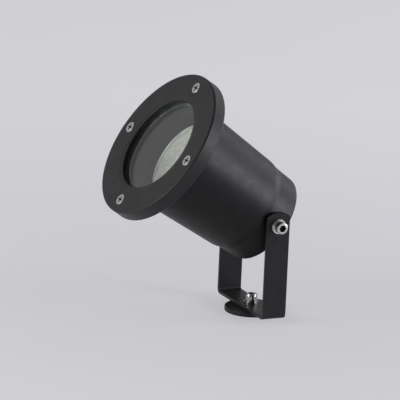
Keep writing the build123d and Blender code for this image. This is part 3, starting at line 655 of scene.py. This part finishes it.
KEY_PLACE = Vector((0.69, 1.03, 0.23))
KEY_WIDTH = 0.65
KEY_WATTS = 11.8
BACK_PLACE = Vector((-0.17, 1.21, 0.32))
BACK_WIDTH = 1.0
BACK_WATTS = 4.0
FRONT_PLACE = Vector((0.0, -1.22, 0.32))
FRONT_WIDTH = 0.55
FRONT_WATTS = 9.0
SOFTBOX_HEIGHT = 0.55
COOL_LIGHT = (0.92, 0.90, 1.0)
PLAIN_LIGHT = (1.0, 1.0, 0.98)

floor_finish, floor_tree, floor_shader = new_finish("pale_table")
tint(floor_tree, floor_shader, grain(floor_tree, FLOOR_CLOUDS_PER_METRE), FLOOR_SHADE, FLOOR_PALE)
floor_shader.inputs["Roughness"].default_value = FLOOR_ROUGHNESS
floor_shader.inputs["Specular IOR Level"].default_value = 0.0

# What is seen of the table is partly a plain glow, which keeps it pale. The glow's share is smaller
# near the lamp, which paints the table darker around it: painted shade, on top of its real shadow.
rays = floor_tree.nodes.new("ShaderNodeLightPath")
seen = floor_tree.nodes.new("ShaderNodeMath")
seen.operation = "ADD"
seen.use_clamp = True
floor_tree.links.new(rays.outputs["Is Camera Ray"], seen.inputs[0])
floor_tree.links.new(rays.outputs["Is Glossy Ray"], seen.inputs[1])
seen_through = floor_tree.nodes.new("ShaderNodeMath")
seen_through.operation = "ADD"
seen_through.use_clamp = True
floor_tree.links.new(seen.outputs["Value"], seen_through.inputs[0])
floor_tree.links.new(rays.outputs["Is Transmission Ray"], seen_through.inputs[1])
spot = floor_tree.nodes.new("ShaderNodeTexCoord")
distance = floor_tree.nodes.new("ShaderNodeVectorMath")
distance.operation = "LENGTH"
floor_tree.links.new(spot.outputs["Object"], distance.inputs[0])
# Less glow near the lamp: painted shade around it.
fading = floor_tree.nodes.new("ShaderNodeMapRange")
fading.inputs["From Min"].default_value = NEAR_DISTANCE
fading.inputs["From Max"].default_value = FAR_DISTANCE
fading.inputs["To Min"].default_value = NEAR_GLOW_SHARE
fading.inputs["To Max"].default_value = FAR_GLOW_SHARE
floor_tree.links.new(distance.outputs["Value"], fading.inputs["Value"])
share = floor_tree.nodes.new("ShaderNodeMath")
share.operation = "MULTIPLY"
floor_tree.links.new(seen_through.outputs["Value"], share.inputs[0])
floor_tree.links.new(fading.outputs["Result"], share.inputs[1])
glow = floor_tree.nodes.new("ShaderNodeEmission")
glow.inputs["Color"].default_value = FLOOR_GLOW
both = floor_tree.nodes.new("ShaderNodeMixShader")
floor_tree.links.new(share.outputs["Value"], both.inputs["Fac"])
floor_tree.links.new(floor_shader.outputs["BSDF"], both.inputs[1])
floor_tree.links.new(glow.outputs["Emission"], both.inputs[2])
floor_tree.links.new(both.outputs["Shader"], floor_tree.nodes["Material Output"].inputs["Surface"])
table = bmesh.new()
bmesh.ops.create_circle(table, cap_ends=True, segments=FLOOR_SEGMENTS, radius=FLOOR_RADIUS)
floor_mesh = bpy.data.meshes.new("floor")
table.to_mesh(floor_mesh)
table.free()
floor_mesh.materials.append(floor_finish)
floor = bpy.data.objects.new("floor", floor_mesh)
bpy.context.scene.collection.objects.link(floor)

room = bpy.data.worlds.new("pale_room")
room.use_nodes = True
bpy.context.scene.world = room
sky = room.node_tree
ray = sky.nodes.new("ShaderNodeTexCoord")
split = sky.nodes.new("ShaderNodeSeparateXYZ")
fade = sky.nodes.new("ShaderNodeValToRGB")
fade.color_ramp.elements[0].position = ROOM_PALE_HEIGHT
fade.color_ramp.elements[0].color = ROOM_PALE
fade.color_ramp.elements[1].position = ROOM_DARK_HEIGHT
fade.color_ramp.elements[1].color = ROOM_DARK
nearness = sky.nodes.new("ShaderNodeVectorMath")
nearness.operation = "DOT_PRODUCT"
nearness.inputs[1].default_value = NEAR_SIDE
dimming = sky.nodes.new("ShaderNodeMapRange")
dimming.inputs["From Min"].default_value = NEAR_SIDE_START
dimming.inputs["From Max"].default_value = NEAR_SIDE_FULL
dimming.inputs["To Min"].default_value = 1.0
dimming.inputs["To Max"].default_value = NEAR_SIDE_LIGHT
sky.links.new(ray.outputs["Generated"], split.inputs["Vector"])
sky.links.new(split.outputs["Z"], fade.inputs["Fac"])
sky.links.new(fade.outputs["Color"], sky.nodes["Background"].inputs["Color"])
sky.links.new(ray.outputs["Generated"], nearness.inputs[0])
sky.links.new(nearness.outputs["Value"], dimming.inputs["Value"])
sky.links.new(dimming.outputs["Result"], sky.nodes["Background"].inputs["Strength"])


def softbox(name, place, width, watts, colour):
    """A rectangular softbox that faces the lamp and stays out of the picture."""
    light = bpy.data.lights.new(name, "AREA")
    light.shape = "RECTANGLE"
    light.size = width
    light.size_y = SOFTBOX_HEIGHT
    light.energy = watts
    light.color = colour
    holder = bpy.data.objects.new(name, light)
    holder.location = place
    holder.rotation_euler = (pivot - place).to_track_quat("-Z", "Y").to_euler()
    holder.visible_camera = False
    bpy.context.scene.collection.objects.link(holder)


softbox("key_softbox", KEY_PLACE, KEY_WIDTH, KEY_WATTS, COOL_LIGHT)
softbox("back_softbox", BACK_PLACE, BACK_WIDTH, BACK_WATTS, COOL_LIGHT)
softbox("front_softbox", FRONT_PLACE, FRONT_WIDTH, FRONT_WATTS, PLAIN_LIGHT)


# Camera: a long lens, a little above the light and ahead of its right side, held very
# slightly out of level.
VIEW_CENTRE = Vector((0.0, -0.0373, 0.0716))
VIEW_DISTANCE = 4.525
VIEW_TURN = math.radians(64.223)
VIEW_DOWN = math.radians(15.124)
VIEW_ROLL = math.radians(2.663)
LENS_MM = 682.5
SENSOR_MM = 36.0
VIEW_END = 20.0
lens = bpy.data.cameras.new("camera")
lens.sensor_width = SENSOR_MM
lens.lens = LENS_MM
lens.clip_end = VIEW_END
camera = bpy.data.objects.new("camera", lens)
bpy.context.scene.collection.objects.link(camera)
level = Matrix.Rotation(VIEW_TURN, 4, "Z") @ Matrix.Rotation(math.radians(90.0) - VIEW_DOWN, 4, "X")
held = level @ Matrix.Rotation(VIEW_ROLL, 4, "Z")
drawn_back = Matrix.Translation((0.0, 0.0, VIEW_DISTANCE))
camera.matrix_world = Matrix.Translation(VIEW_CENTRE) @ held @ drawn_back
bpy.context.scene.camera = camera
bpy.context.scene.view_settings.view_transform = "Standard"
